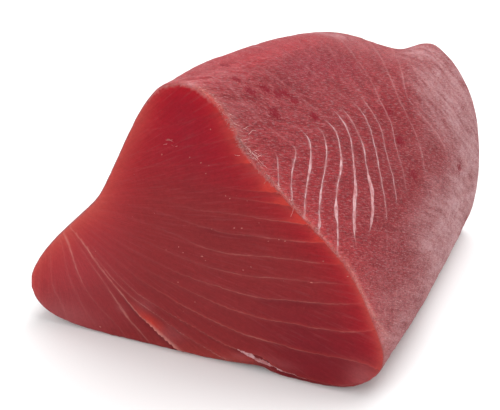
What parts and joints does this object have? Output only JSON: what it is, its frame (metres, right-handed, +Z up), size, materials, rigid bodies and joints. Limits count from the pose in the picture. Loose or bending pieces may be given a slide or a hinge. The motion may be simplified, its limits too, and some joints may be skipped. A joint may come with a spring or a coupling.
{
  "type": "tuna steak",
  "caption": "Thick block of raw red tuna cut across the loin, with a flat underside, two broad cut faces, a rounded flank and a thin belly tip.",
  "frame": {"origin": "on the table, under the middle of the block's bounding box", "axes": "+X from the thin belly tip to the heel of the round flank, +Y from the near cut to the far cut along the fish, +Z up"},
  "size_m": [0.1476, 0.1238, 0.1041],
  "materials": {
    "tuna_flesh": "satin"
  },
  "bodies": {
    "root": {"tuna_block": "tuna_flesh"}
  },
  "joints": []
}
